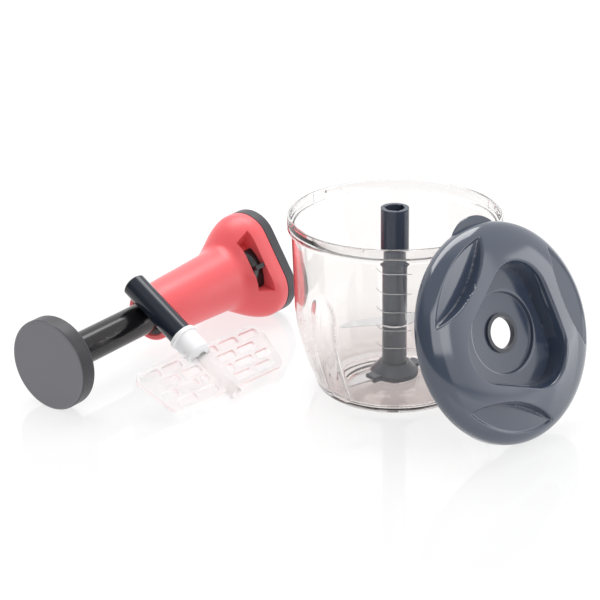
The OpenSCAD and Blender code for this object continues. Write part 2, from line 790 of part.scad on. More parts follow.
// Drive tube of the whisk, open at the top for the push unit's spigot
module whisk_tube()
  color(dark_slate) place_whisk() rotate_extrude() polygon([
    [tube_core_r, hub_at + hub_len - tube_in], [tube_r, hub_at + hub_len - tube_in],
    [tube_r, whisk_len - 1], [tube_r - 1, whisk_len], [tube_bore_r, whisk_len],
    [tube_bore_r, whisk_len - tube_bore_deep], [tube_core_r, whisk_len - tube_bore_deep]
  ]);

// White hub that joins the tube to the paddle
module whisk_hub()
  color(white) place_whisk() rotate_extrude() polygon([
    [spine_r, hub_at], [hub_tip_r, hub_at], [hub_body_r, hub_at + 2.5],
    [hub_body_r, hub_at + hub_len - hub_collar_h], [hub_r, hub_at + hub_len - hub_collar_h],
    [hub_r, hub_at + hub_len], [tube_r, hub_at + hub_len],
    [tube_r, hub_at + hub_len - tube_in], [spine_r, hub_at + hub_len - tube_in]
  ]);

// Half the paddle's width at a height above its lower edge
function paddle_half(z) = paddle_low + (paddle_top - paddle_low) * z / paddle_h;

// Outline of one slot with round corners
function slot_line(x, z, length) = let (a = length / 2 - slot_round, b = slot_w / 2 - slot_round)
  [for (c = [[1, 1, 0], [-1, 1, 90], [-1, -1, 180], [1, -1, 270]])
    each arc(x + c[0] * a, z + c[1] * b, slot_round, c[2], c[2] + 90, 4)];

// Clear paddle with rows of staggered slots, its spine and its pivot boss
module whisk_paddle()
  color(clear) place_whisk() {
    difference() {
      translate([0, paddle_t / 2, 0]) rotate([90, 0, 0]) linear_extrude(paddle_t) difference() {
        hull() for (side = [-1, 1]) for (z = [corner_r, paddle_h - corner_r])
          translate([side * (paddle_half(z) - corner_r), paddle_at + z])
            circle(r = corner_r, $fn = hull_sides);
        for (row = [0 : slot_rows - 1]) {
          z = paddle_at + paddle_h / 2 + (row - (slot_rows - 1) / 2) * slot_pitch_z;
          inner = spine_r + slot_margin;
          outer = paddle_half(z - paddle_at) - slot_margin;
          for (x = [inner - (row % 2) * slot_pitch_x / 2 : slot_pitch_x : outer]) {
            from = max(x, inner);
            to = min(x + slot_len, outer);
            if (to - from > slot_shortest)
              for (side = [-1, 1]) polygon(slot_line(side * (from + to) / 2, z, to - from));
          }
        }
      }
      cylinder(r = spine_r - 0.5, h = hub_at);
      translate([0, 0, hub_at]) cylinder(r = hub_body_r, h = paddle_h);
    }
    difference() {
      union() {
        cylinder(r = boss_r, h = boss_h);
        translate([0, 0, boss_h - 1]) cylinder(r = spine_r, h = hub_at + spine_in - boss_h + 1);
      }
      translate([0, 0, -past]) cylinder(r = boss_bore_r, h = boss_bore_deep + past);
    }
  }

bowl_shell();
bowl_pin();
blade_column();
blade_bush();
blade_foot();
blade_upper();
blade_lower();
lid_cover();
lid_ring();
lid_bush();
push_casing();
casing_base();
base_screws();
guide_ring();
rod_bearing();
base_bush();
lock_switch();
lock_collar();
knob_cap();
knob_body();
plunger_shaft();
drive_nut();
return_spring();
drive_rod();
clutch_driver();
output_coupler();
whisk_tube();
whisk_hub();
whisk_paddle();
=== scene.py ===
import math
import bmesh
import bpy
import numpy as np
from mathutils import Matrix, Vector


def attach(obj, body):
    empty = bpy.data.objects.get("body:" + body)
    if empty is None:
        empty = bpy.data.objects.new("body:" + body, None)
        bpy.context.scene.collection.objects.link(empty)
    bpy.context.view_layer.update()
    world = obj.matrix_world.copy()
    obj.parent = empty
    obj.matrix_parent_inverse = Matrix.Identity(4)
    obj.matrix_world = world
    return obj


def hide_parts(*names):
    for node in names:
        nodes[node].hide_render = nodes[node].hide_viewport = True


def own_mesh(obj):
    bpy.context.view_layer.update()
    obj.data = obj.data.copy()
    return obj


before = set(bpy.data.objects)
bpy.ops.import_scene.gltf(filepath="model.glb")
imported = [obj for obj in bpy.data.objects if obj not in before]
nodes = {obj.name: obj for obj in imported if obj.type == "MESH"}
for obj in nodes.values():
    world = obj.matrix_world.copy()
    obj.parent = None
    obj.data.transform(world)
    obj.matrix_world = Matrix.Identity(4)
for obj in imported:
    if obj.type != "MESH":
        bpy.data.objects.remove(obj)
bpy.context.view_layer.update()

# --- Camera -----------------------------------------------------------------------------------
# The view of the photograph: a long lens a little over a metre away, looking down by 22 degrees
# and tipped by one degree. The image is 600 by 600 and the focal length 1800 of its pixels.
VIEW_FROM = (-0.0625, -1.1012, 0.5090)
VIEW_DOWN = 22.15
VIEW_TIP = -1.0
FOCAL_PX = 1800
IMAGE_PX = 600
SENSOR_MM = 36

view_data = bpy.data.cameras.new("view")
view_data.sensor_width = SENSOR_MM
view_data.sensor_fit = "HORIZONTAL"
view_data.lens = FOCAL_PX / IMAGE_PX * SENSOR_MM
view_data.clip_start = 0.05
view_data.clip_end = 30
view = bpy.data.objects.new("view", view_data)
bpy.context.scene.collection.objects.link(view)
view.matrix_world = (Matrix.Translation(VIEW_FROM)
                     @ Matrix.Rotation(math.radians(90 - VIEW_DOWN), 4, "X")
                     @ Matrix.Rotation(math.radians(VIEW_TIP), 4, "Z"))
bpy.context.scene.camera = view


# --- White table and studio light -------------------------------------------------------------
# A glossy white acrylic table top that runs out to a white backdrop, which gives the faint mirror
# images under the pieces, lit by softboxes in front on the right, overhead, and on the right side.
TABLE_SIDE, TABLE_FRONT, TABLE_BACK = 4, -2.5, 5.5
SWEEP_WHITE, ROOM_DIM, CEILING_GLOW = 1.05, 0.24, 0.65
LIGHT_AIM = (-0.05, 0, 0.05)


def linear(hex_colour):
    """An sRGB hex colour as linear RGBA."""
    parts = [int(hex_colour[i:i + 2], 16) / 255 for i in (1, 3, 5)]
    return [p / 12.92 if p <= 0.04045 else ((p + 0.055) / 1.055) ** 2.4 for p in parts] + [1.0]


def add(tree, kind, links=(), **settings):
    """Adds one node, sets its sockets and properties by name, and links its inputs."""
    new = tree.nodes.new(kind)
    for name, value in settings.items():
        key = name.replace("_", " ")
        socket = next((s for s in new.inputs if s.name.lower() == key.lower() and s.enabled), None)
        if hasattr(new, name):
            setattr(new, name, value)
        elif socket is not None:
            socket.default_value = value
        else:
            raise KeyError(f"{kind} has no {name}")
    for target, source in dict(links).items():
        tree.links.new(source, new.inputs[target])
    return new


def new_material(name):
    """An empty material and its node tree."""
    material = bpy.data.materials.new(name)
    material.use_nodes = True
    material.node_tree.nodes.clear()
    return material, material.node_tree


def finish_material(tree, shader):
    """Sends a shader to the material's output."""
    add(tree, "ShaderNodeOutputMaterial", {"Surface": shader.outputs[0]})


# Polished acrylic sheet mirrors what stands on it. Most of its white is a glow of its own, so that
# it stays as even as the backdrop and shows hardly any shadow.
table_top, tree = new_material("white_acrylic_sheet")
shader = add(tree, "ShaderNodeBsdfPrincipled", Base_Color=linear("#7A7A7A"), Roughness=0.04,
             IOR=1.36, Emission_Color=(1, 1, 1, 1), Emission_Strength=0.74)
finish_material(tree, shader)

table_mesh = bpy.data.meshes.new("table")
table_mesh.from_pydata([(-TABLE_SIDE, TABLE_FRONT, 0), (TABLE_SIDE, TABLE_FRONT, 0),
                        (TABLE_SIDE, TABLE_BACK, 0), (-TABLE_SIDE, TABLE_BACK, 0)],
                       [], [(0, 1, 2, 3)])
table = bpy.data.objects.new("table", table_mesh)
bpy.context.scene.collection.objects.link(table)
table_mesh.materials.append(table_top)

# The backdrop and the ceiling are white. The room in front of the table, round to its left, is
# dimmer, which draws the edges of the clear pieces and shades the round ones.
world = bpy.data.worlds.new("studio")
world.use_nodes = True
tree = world.node_tree
tree.nodes.clear()
way = add(tree, "ShaderNodeTexCoord")
parts = add(tree, "ShaderNodeSeparateXYZ", {"Vector": way.outputs["Generated"]})
lean = add(tree, "ShaderNodeMath", {0: parts.outputs["X"], 2: parts.outputs["Y"]},
           operation="MULTIPLY_ADD")
lean.inputs[1].default_value = 0.35
back = add(tree, "ShaderNodeMapRange", {"Value": lean.outputs["Value"]},
           interpolation_type="SMOOTHSTEP",
           From_Min=-0.35, From_Max=0.25, To_Min=ROOM_DIM, To_Max=SWEEP_WHITE)
ceiling = add(tree, "ShaderNodeMapRange", {"Value": parts.outputs["Z"]},
              interpolation_type="SMOOTHSTEP",
              From_Min=0.3, From_Max=0.8, To_Min=0.0, To_Max=CEILING_GLOW)
glow = add(tree, "ShaderNodeMath", {0: back.outputs["Result"], 1: ceiling.outputs["Result"]},
           operation="MAXIMUM")
# Seen past the object the room is white all round, as a studio sweep is.
seen = add(tree, "ShaderNodeLightPath")
sweep = add(tree, "ShaderNodeMix", {0: seen.outputs["Is Camera Ray"], 2: glow.outputs["Value"]},
            data_type="FLOAT")
sweep.inputs[3].default_value = SWEEP_WHITE
sky = add(tree, "ShaderNodeBackground", {"Strength": sweep.outputs[0]}, Color=(1, 1, 1, 1))
add(tree, "ShaderNodeOutputWorld", {"Surface": sky.outputs["Background"]})
bpy.context.scene.world = world
bpy.context.scene.view_settings.view_transform = "Standard"

for name, place, size, watts in (
    ("softbox_front", (0.7, -1.5, 1.0), (1.5, 1.0), 10),
    ("softbox_over", (-0.2, 0.6, 1.4), (1.6, 0.8), 16),
    ("softbox_right", (1.3, -0.9, 0.6), (1.5, 1.1), 4.5),
    ("softbox_side", (1.6, 0.15, 0.3), (0.5, 0.8), 1.8),
):
    lamp_data = bpy.data.lights.new(name, "AREA")
    lamp_data.shape = "RECTANGLE"
    lamp_data.size, lamp_data.size_y = size
    lamp_data.energy = watts
    lamp = bpy.data.objects.new(name, lamp_data)
    lamp.location = place
    lamp.visible_camera = False
    lamp.rotation_euler = (Vector(LIGHT_AIM) - lamp.location).to_track_quat("-Z", "Y").to_euler()
    bpy.context.scene.collection.objects.link(lamp)


# --- Bowl -------------------------------------------------------------------------------------
# Injection-moulded clear styrene-acrylonitrile, a little warm in tone and polished inside and out.
# Three tall grooves with round tops are moulded into the wall, with a rim band, three locking
# ledges and five raised measuring lines. The steel pin is pressed into a boss in its floor.
BOWL_H, BAND_R, BAND_Z = 120.7, 70.0, 111.3
WALL_TOP_R, WALL_MID_R, WALL_LOW_R, WALL_MID_Z, WALL_CURVE = 67.5, 66.0, 53.0, 60.0, 1.7
BOWL_WALL, FLOOR_Z, BASE_ROUND, INNER_ROUND = 2.1, 4.2, 7.0, 6.0
REBATE, STAND_W, STAND_ROUND = 0.8, 7.0, 0.5
PIN_BOSS_R, PIN_BOSS_H, PIN_R, PIN_SEAT = 8.0, 3.0, 3.0, 1.6
GROOVE_AT, GROOVE_HALF_W, GROOVE_DEEP, GROOVE_SIDE = (223, 343, 103), 11.0, 2.6, 0.55
GROOVE_TOP, GROOVE_HEAD, GROOVE_FOOT, GROOVE_RUN = 82.0, 18.0, 1.0, 14.0
BOWL_AROUND, WALL_RINGS = 288, 64
LEDGE_AT, LEDGE_SPAN, LEDGE_TOP, LEDGE_H, LEDGE_IN = (5, 125, -115), 11.0, 119.5, 2.0, 1.1
STOP_AWAY, STOP_SPAN, STOP_IN, LEDGE_CLEAR = 10.0, 0.5, 0.5, 0.02
LINE_AT, LINE_FROM, LINE_TO = (103.8, 90.5, 78.0, 65.5, 53.4), -103.0, -84.0
LINE_CURL, LINE_CURL_SHARE, LINE_SUNK, LINE_R, LINE_STEPS = 4.0, 0.3, 0.05, 0.22, 24


def shade(piece, smooth_angle):
    """Merges doubles, points the faces outwards and smooths all but the sharp edges."""
    work = bmesh.new()
    work.from_mesh(piece.data)
    bmesh.ops.remove_doubles(work, verts=work.verts, dist=1e-6)
    bmesh.ops.dissolve_degenerate(work, edges=work.edges, dist=1e-7)
    bmesh.ops.recalc_face_normals(work, faces=work.faces)
    for edge in work.edges:
        sharp = len(edge.link_faces) == 2 and edge.calc_face_angle(0) > math.radians(smooth_angle)
        edge.smooth = not sharp
    for face in work.faces:
        face.smooth = True
    work.to_mesh(piece.data)
    work.free()


def new_piece(name, points, faces, smooth_angle=35.0):
    """A mesh object at the origin, from points in millimetres."""
    mesh = bpy.data.meshes.new(name)
    mesh.from_pydata([tuple(p) for p in np.asarray(points, float) / 1000.0], [], faces)
    mesh.validate()
    piece = bpy.data.objects.new(name, mesh)
    bpy.context.scene.collection.objects.link(piece)
    shade(piece, smooth_angle)
    return piece


def ring_points(directions, radius, height):
    """Points of one ring; its radius and height may change with the direction."""
    return np.stack([radius * np.cos(directions), radius * np.sin(directions),
                     np.broadcast_to(height, directions.shape)], 1)


def rings_to_faces(rings, around, close_ends=False, loop=False):
    """Quads between successive rings of points; loop joins the last ring to the first."""
    faces = []
    for i in range(rings if loop else rings - 1):
        j = (i + 1) % rings
        for k in range(around):
            n = (k + 1) % around
            faces.append((i * around + k, i * around + n, j * around + n, j * around + k))
    if close_ends:
        faces.append(tuple(range(around)))
        faces.append(tuple((rings - 1) * around + k for k in range(around)))
    return faces


def smooth_step(t):
    """Rises from 0 to 1 with soft ends."""
    t = np.clip(t, 0, 1)
    return t * t * (3 - 2 * t)


def bowl_radius(z):
    """Radius of the wall's outside: straight above its middle, drawn in below it."""
    if z >= WALL_MID_Z:
        return WALL_MID_R + (WALL_TOP_R - WALL_MID_R) * (z - WALL_MID_Z) / (BAND_Z - WALL_MID_Z)
    below = min(1.0, (WALL_MID_Z - z) / (WALL_MID_Z - BASE_ROUND))
    return WALL_MID_R - (WALL_MID_R - WALL_LOW_R) * below ** WALL_CURVE


def corner(middle_r, middle_z, radius, first, last):
    """Nine points of a round corner on the wall, between two directions in degrees."""
    return [(middle_r + radius * math.cos(a), middle_z + radius * math.sin(a), True)
            for a in np.radians(np.linspace(first, last, 9))]


def wall_points(offset, first, last):
    """Points up or down the wall, at an offset from its outside."""
    return [(bowl_radius(z) + offset, z, True) for z in np.linspace(first, last, WALL_RINGS)]


# The bowl's outline as radius, height, and whether the grooves cut it. It starts under the floor,
# goes up the outside, over the band and down the inside to the boss that holds the pin. Edges are
# broken by a few tenths of a millimetre.
band_in = BAND_R - BOWL_WALL
stand_in = WALL_LOW_R - BASE_ROUND - STAND_W
inner_low = FLOOR_Z + INNER_ROUND
bowl_line = [(0, REBATE, False), (stand_in - STAND_ROUND, REBATE, False),
             (stand_in, 0.3, False), (stand_in + STAND_ROUND, 0, False)]
bowl_line += corner(WALL_LOW_R - BASE_ROUND, BASE_ROUND, BASE_ROUND, -90, 0)
bowl_line += wall_points(0, BASE_ROUND + 1.5, BAND_Z - 0.6)
bowl_line += [(r, z, False) for r, z in (
    (WALL_TOP_R + 0.2, BAND_Z - 0.1), (BAND_R - 0.7, BAND_Z), (BAND_R - 0.2, BAND_Z + 0.2),
    (BAND_R, BAND_Z + 0.8), (BAND_R, BOWL_H - 0.8), (BAND_R - 0.25, BOWL_H - 0.2),
    (BAND_R - 0.8, BOWL_H), (BAND_R - 1.4, BOWL_H), (band_in + 0.15, BOWL_H - 0.25),
    (band_in, BOWL_H - 0.8), (band_in, BAND_Z + 2.5), (band_in - 0.3, BAND_Z + 2.1),
    (WALL_TOP_R - 1.7, BAND_Z + 2.0), (WALL_TOP_R - 2.0, BAND_Z + 1.6))]
bowl_line += wall_points(-BOWL_WALL, BAND_Z - 0.6, inner_low + 1.5)
inner_low_r = bowl_radius(inner_low) - BOWL_WALL - INNER_ROUND
bowl_line += corner(inner_low_r, inner_low, INNER_ROUND, 0, -90)
bowl_line += [(r, z, False) for r, z in (
    (PIN_BOSS_R + 1, FLOOR_Z), (PIN_BOSS_R + 0.3, FLOOR_Z + 0.4), (PIN_BOSS_R, FLOOR_Z + 1),
    (PIN_BOSS_R, FLOOR_Z + PIN_BOSS_H - 0.4), (PIN_BOSS_R - 0.4, FLOOR_Z + PIN_BOSS_H),
    (PIN_R, FLOOR_Z + PIN_BOSS_H), (PIN_R, REBATE + PIN_SEAT), (0, REBATE + PIN_SEAT))]

bowl_turn = np.linspace(0, 2 * math.pi, BOWL_AROUND, endpoint=False)


def groove_depth(r, z):
    """How deep the grooves go into the wall at one height, in each direction."""
    up = max(0.0, (z - (GROOVE_TOP - GROOVE_HEAD)) / GROOVE_HEAD)
    depth = np.zeros(BOWL_AROUND)
    for middle in GROOVE_AT:
        off = (np.degrees(bowl_turn) - middle + 180) % 360 - 180
        across = np.abs(np.radians(off)) * r / GROOVE_HALF_W
        depth += smooth_step((1 - np.hypot(across, up)) / GROOVE_SIDE)
    return GROOVE_DEEP * smooth_step((z - GROOVE_FOOT) / GROOVE_RUN) * depth


bowl_points = np.concatenate([
    ring_points(bowl_turn, r - groove_depth(r, z) if grooved else r, z)
    for r, z, grooved in bowl_line])
bowl = new_piece("bowl_moulding", bowl_points, rings_to_faces(len(bowl_line), BOWL_AROUND), 50)


def curved_block(radii, heights, first, last, steps):
    """Points and faces of a block between two radii, two heights and two directions in degrees."""
    points = []
    for a in np.radians(np.linspace(first, last, steps + 1)):
        for r, z in ((radii[0], heights[0]), (radii[1], heights[0]),
                     (radii[1], heights[1]), (radii[0], heights[1])):
            points.append((r * math.cos(a), r * math.sin(a), z))
    return points, rings_to_faces(steps + 1, 4, close_ends=True)


# Each ledge catches a lug of the lid, and the thin rib beyond it stops the lid's turn. They stand
# a hair off the band, so that no two faces of the clear plastic coincide.
ledge_points, ledge_faces = [], []
for middle in LEDGE_AT:
    stop = middle + LEDGE_SPAN / 2 + STOP_AWAY
    for points, faces in (
        curved_block((band_in - LEDGE_IN, band_in - LEDGE_CLEAR), (LEDGE_TOP - LEDGE_H, LEDGE_TOP),
                     middle - LEDGE_SPAN / 2, middle + LEDGE_SPAN / 2, 12),
        curved_block((band_in - STOP_IN, band_in - LEDGE_CLEAR), (BAND_Z + 2.6, BOWL_H - 1.2),
                     stop, stop + STOP_SPAN, 1),
    ):
        ledge_faces += [tuple(len(ledge_points) + n for n in face) for face in faces]
        ledge_points += points
ledges = new_piece("bowl_rim_ledges", ledge_points, ledge_faces, 30)

# Polished styrene-acrylonitrile gives sharp reflections, which a slow waviness of about 22 mm bends
# as in any moulded wall. It is warmer where it is thicker: in the floor and the corner above it.
clear_plastic, tree = new_material("clear_styrene_moulding")
place = add(tree, "ShaderNodeTexCoord")
ripple = add(tree, "ShaderNodeTexNoise", {"Vector": place.outputs["Object"]},
             Scale=45.0, Detail=1.0)
bump = add(tree, "ShaderNodeBump", {"Height": ripple.outputs["Fac"]}, Strength=0.06, Distance=0.001)
height = add(tree, "ShaderNodeSeparateXYZ", {"Vector": place.outputs["Object"]})
share = add(tree, "ShaderNodeMapRange", {"Value": height.outputs["Z"]},
            interpolation_type="SMOOTHSTEP", From_Min=0.004, From_Max=0.040)
tint = add(tree, "ShaderNodeValToRGB", {"Fac": share.outputs["Result"]})
tint.color_ramp.elements[0].color = linear("#E0D8D6")
tint.color_ramp.elements[1].color = linear("#FAF8F7")
shader = add(tree, "ShaderNodeBsdfPrincipled", {"Normal": bump.outputs["Normal"]},
             Roughness=0.03, IOR=1.50, Transmission_Weight=1.0)
tree.links.new(tint.outputs["Color"], shader.inputs["Base Color"])
finish_material(tree, shader)

# The same plastic from a spark-eroded part of the tool: a grit of 0.4 mm, drawn coarser than the
# real one so that it shows, scatters the light and makes the measuring lines read as white.
frosted_plastic, tree = new_material("clear_styrene_eroded")
place = add(tree, "ShaderNodeTexCoord")
grit = add(tree, "ShaderNodeTexNoise", {"Vector": place.outputs["Object"]},
           Scale=2500.0, Detail=2.0)
bump = add(tree, "ShaderNodeBump", {"Height": grit.outputs["Fac"]}, Strength=0.3, Distance=0.0002)
shader = add(tree, "ShaderNodeBsdfPrincipled", {"Normal": bump.outputs["Normal"]},
             Base_Color=linear("#F4F3F3"), Roughness=0.4, IOR=1.5, Transmission_Weight=0.35)
finish_material(tree, shader)

# The measuring lines are moulded ridges with an eroded face. Each runs round the front of the wall
# and curls up at its left end; one round wire is swept along all five.
line_points, line_edges = [], []
for level in LINE_AT:
    for k in range(LINE_STEPS + 1):
        share = k / LINE_STEPS
        a = math.radians(LINE_FROM + (LINE_TO - LINE_FROM) * share)
        z = level + LINE_CURL * max(0.0, 1 - share / LINE_CURL_SHARE) ** 2
        r = bowl_radius(z) - LINE_SUNK
        if k:
            line_edges.append((len(line_points) - 1, len(line_points)))
        line_points.append((r * math.cos(a) / 1000, r * math.sin(a) / 1000, z / 1000))
line_mesh = bpy.data.meshes.new("bowl_measuring_lines")
line_mesh.from_pydata(line_points, line_edges, [])
lines = bpy.data.objects.new("bowl_measuring_lines", line_mesh)
bpy.context.scene.collection.objects.link(lines)

ridge_tree = bpy.data.node_groups.new("moulded_ridges", "GeometryNodeTree")
ridge_tree.interface.new_socket("Geometry", in_out="INPUT", socket_type="NodeSocketGeometry")
ridge_size = ridge_tree.interface.new_socket("Ridge radius", in_out="INPUT",
                                             socket_type="NodeSocketFloat")
ridge_look = ridge_tree.interface.new_socket("Finish", in_out="INPUT",
                                             socket_type="NodeSocketMaterial")
ridge_tree.interface.new_socket("Geometry", in_out="OUTPUT", socket_type="NodeSocketGeometry")
given = add(ridge_tree, "NodeGroupInput")
route = add(ridge_tree, "GeometryNodeMeshToCurve", {"Mesh": given.outputs["Geometry"]})
wire = add(ridge_tree, "GeometryNodeCurvePrimitiveCircle",
           {"Radius": given.outputs["Ridge radius"]}, Resolution=8)
swept = add(ridge_tree, "GeometryNodeCurveToMesh",
            {"Curve": route.outputs["Curve"], "Profile Curve": wire.outputs["Curve"]},
            Fill_Caps=True)
real = add(ridge_tree, "GeometryNodeRealizeInstances", {"Geometry": swept.outputs["Mesh"]})
dressed = add(ridge_tree, "GeometryNodeSetMaterial",
              {"Geometry": real.outputs["Geometry"], "Material": given.outputs["Finish"]})
add(ridge_tree, "NodeGroupOutput", {"Geometry": dressed.outputs["Geometry"]})
ridging = lines.modifiers.new("ridges", "NODES")
ridging.node_group = ridge_tree
ridging[ridge_size.identifier] = LINE_R / 1000
ridging[ridge_look.identifier] = frosted_plastic
swept_lines = lines.evaluated_get(bpy.context.evaluated_depsgraph_get())
swept_mesh = bpy.data.meshes.new_from_object(swept_lines)
lines.modifiers.clear()
lines.data = swept_mesh
shade(lines, 40)

ledges.data.materials.append(clear_plastic)
bowl.data.materials.append(clear_plastic)
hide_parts("bowl_shell")
for piece in (ledges, lines, bowl):
    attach(piece, "bowl")

# Ground stainless steel: a close, bright surface whose gloss changes over wear marks about 1 mm
# apart, so that blades and pin aren't mirrors.
ground_steel, tree = new_material("ground_stainless_steel")
place = add(tree, "ShaderNodeTexCoord")
marks = add(tree, "ShaderNodeTexNoise", {"Vector": place.outputs["Object"]},
            Scale=900.0, Detail=3.0)
worn = add(tree, "ShaderNodeMapRange", {"Value": marks.outputs["Fac"]}, To_Min=0.10, To_Max=0.2)
bump = add(tree, "ShaderNodeBump", {"Height": marks.outputs["Fac"]}, Strength=0.04, Distance=0.0002)
shader = add(tree, "ShaderNodeBsdfPrincipled",
             {"Roughness": worn.outputs["Result"], "Normal": bump.outputs["Normal"]},
             Base_Color=linear("#E3E4E6"), Metallic=1.0)
finish_material(tree, shader)


def coat(node_names, material):
    """Gives CAD nodes their finished material."""
    for name in node_names:
        mesh = nodes[name].data
        mesh.materials.clear()
        mesh.materials.append(material)


coat(["bowl_pin", "blade_upper", "blade_lower", "base_screws", "return_spring", "drive_rod"],
     ground_steel)


# --- Blade unit -------------------------------------------------------------------------------
# Blue-grey glass-filled nylon, moulded round the blades, with a satin face from the tool and a
# plain white acetal bush inside that turns on the bowl's pin.
def moulded_plastic(name, colour, shift, roughness, grain_mm, strength, gleam=0.5, coat_weight=0.0):
    """Moulded plastic: a spark-eroded grain, and a slow drift in colour over about 36 mm."""
    material, tree = new_material(name)
    place = add(tree, "ShaderNodeTexCoord")
    grain = add(tree, "ShaderNodeTexNoise", {"Vector": place.outputs["Object"]},
                Scale=1000.0 / grain_mm, Detail=3.0, Roughness=0.6)
    drift = add(tree, "ShaderNodeTexNoise", {"Vector": place.outputs["Object"]},
                Scale=28.0, Detail=2.0)
    tone = add(tree, "ShaderNodeMix", {"Factor": drift.outputs["Fac"]}, data_type="RGBA")
    tone.inputs[6].default_value = linear(colour)
    tone.inputs[7].default_value = linear(shift)
    gloss = add(tree, "ShaderNodeMapRange", {"Value": grain.outputs["Fac"]},
                To_Min=roughness * 0.88, To_Max=roughness * 1.14)
    bump = add(tree, "ShaderNodeBump", {"Height": grain.outputs["Fac"]},
               Strength=strength, Distance=0.0002)
    shader = add(tree, "ShaderNodeBsdfPrincipled",
                 {"Base Color": tone.outputs[2], "Roughness": gloss.outputs["Result"],
                  "Normal": bump.outputs["Normal"]},
                 IOR=1.5, Specular_IOR_Level=gleam, Coat_Weight=coat_weight,
                 Coat_Roughness=roughness)
    finish_material(tree, shader)
    return material


# The nylon has a soft satin sheen. The acetal is milky white, with a broader and softer highlight.
blade_nylon = moulded_plastic("blue_grey_nylon_satin", "#394150", "#3E4656", 0.22, 0.5, 0.05)
white_acetal = moulded_plastic("white_acetal_satin", "#FBFBFC", "#F7F7F9", 0.3, 0.4, 0.05)
coat(["blade_column", "blade_foot"], blade_nylon)
coat(["blade_bush", "rod_bearing", "base_bush", "lock_collar", "drive_nut", "clutch_driver",
      "output_coupler"], white_acetal)

# --- Lid --------------------------------------------------------------------------------------
# One moulding of blue-grey ABS with a satin gloss: a low dome with soft edges, a recess with
# three round lobes for the push unit, a round step inside it, and three finger scoops by its
# edge. The locking ring is moulded behind it, and a thin tab for the thumb stands out at the top.
LID_R, LID_H, LID_WALL, LID_EDGE, LID_INNER_R, DOME_LOW = 69.85, 17.0, 2.2, 2.0, 61.6, 1.2
LID_AZ, LID_LEAN = -50.1, 21.65
LID_OUT, LID_SIDE, LID_Z = 95.531, 2.0, 65.660
LOBE_AT, LOBE_R, RECESS_AT, RECESS_Z = 19.1, 23.4, (-80, 40, 160), 1.5
STEP_R, STEP_DEEP, STEP_EDGE, COLLAR_R, RING_R = 25.5, 2.5, 0.5, 12.5, 62.6
SCOOP_AT, SCOOP_R, SCOOP_IN, SCOOP_HALF = (-140, -20, 100), 62.5, 44.0, 33.0
SCOOP_Z, SCOOP_SLOPE, SCOOP_SOFT_IN, SCOOP_SOFT_OUT = 10.0, 7.5, 1.6, 2.4
LIP_R, LIP_IN = 2.2, 1.0
FACE_RINGS, FLOOR_RINGS, UNDER_RINGS, FACE_EDGE_R, UNDER_EDGE_R = 71, 8, 21, 68.6, 61.5
LID_AROUND = 504
TAB_R, TAB_REACH, TAB_T, TAB_AT, TAB_ROUND, TAB_AROUND = 24.0, 75.5, 1.8, 181.5, 0.35, 60

lid_place = (Matrix.Rotation(math.radians(LID_AZ), 4, "Z")
             @ Matrix.Translation((LID_OUT / 1000, LID_SIDE / 1000, LID_Z / 1000))
             @ Matrix.Rotation(math.radians(90 - LID_LEAN), 4, "Y"))


def lobes_distance(x, y, grow):
    """How far a point lies outside the outline with three round lobes."""
    centres = [(LOBE_AT * math.cos(math.radians(a)), LOBE_AT * math.sin(math.radians(a)))
               for a in RECESS_AT]
    flats = []
    for a in RECESS_AT:
        n = math.radians(a + 180)
        flats.append(x * math.cos(n) + y * math.sin(n) - LOBE_AT / 2)
    in_triangle = np.maximum.reduce(flats) < 0
    edges = []
    for (ax, ay), (bx, by) in zip(centres, centres[1:] + centres[:1]):
        t = ((x - ax) * (bx - ax) + (y - ay) * (by - ay)) / ((bx - ax) ** 2 + (by - ay) ** 2)
        t = np.clip(t, 0, 1)
        edges.append(np.hypot(x - ax - t * (bx - ax), y - ay - t * (by - ay)))
    away = np.minimum.reduce(edges)
    return np.where(in_triangle, -away, away) - LOBE_R - grow


def lid_height(x, y, wall):
    """Height of the lid's face, or of its inner face when wall is the wall's thickness."""
    r = np.hypot(x, y)
    reach = LID_INNER_R if wall else LID_R
    top = LID_H - wall
    z = DOME_LOW + (top - DOME_LOW) * np.sqrt(np.clip(1 - (r / reach) ** 4, 0, 1))
    chord = SCOOP_R * math.sin(math.radians(SCOOP_HALF))
    bulge = SCOOP_R * math.cos(math.radians(SCOOP_HALF)) - SCOOP_IN
    arc = (chord ** 2 + bulge ** 2) / (2 * bulge)
    for a in SCOOP_AT:
        ca, sa = math.cos(math.radians(a)), math.sin(math.radians(a))
        along, across = x * ca + y * sa, -x * sa + y * ca
        inner = np.hypot(along - SCOOP_IN - arc, across) - arc - wall
        outer = r - SCOOP_R - wall
        floor = SCOOP_Z - wall - (SCOOP_R - along) * math.tan(math.radians(SCOOP_SLOPE))
        share = (smooth_step(-inner / SCOOP_SOFT_IN + 0.3)
                 * smooth_step(-outer / SCOOP_SOFT_OUT + 0.6))
        z = z + (np.minimum(floor, z) - z) * share
    inside = lobes_distance(x, y, wall)
    lip = np.clip((LIP_R - inside) / (LIP_R + LIP_IN), 0, 1)
    z = RECESS_Z - wall + (z - RECESS_Z + wall) * np.sqrt(1 - lip ** 2)
    step = r - STEP_R - wall
    return z - STEP_DEEP * np.clip(0.5 - step / STEP_EDGE, 0, 1) * (inside < -LIP_IN)


def lobed_radius(turn, at, r, first=90):
    """Radius of the outline with three round lobes, in each direction."""
    off = (np.degrees(turn) - first + 60) % 120 - 60
    flat = np.radians(60 - np.abs(off))
    h = at / 2 + r
    on_flat = np.abs(np.tan(flat)) * h <= at * math.sin(math.radians(60))
    lobe = np.radians(off)
    arc = at * np.cos(lobe) + np.sqrt(np.clip(r * r - (at * np.sin(lobe)) ** 2, 0, None))
    return np.where(on_flat, h / np.cos(flat), arc)


def placed(place, points):
    """Points in millimetres, moved to where their piece lies."""
    return np.array([tuple(place @ Vector([c / 1000.0 for c in p])) for p in points]) * 1000


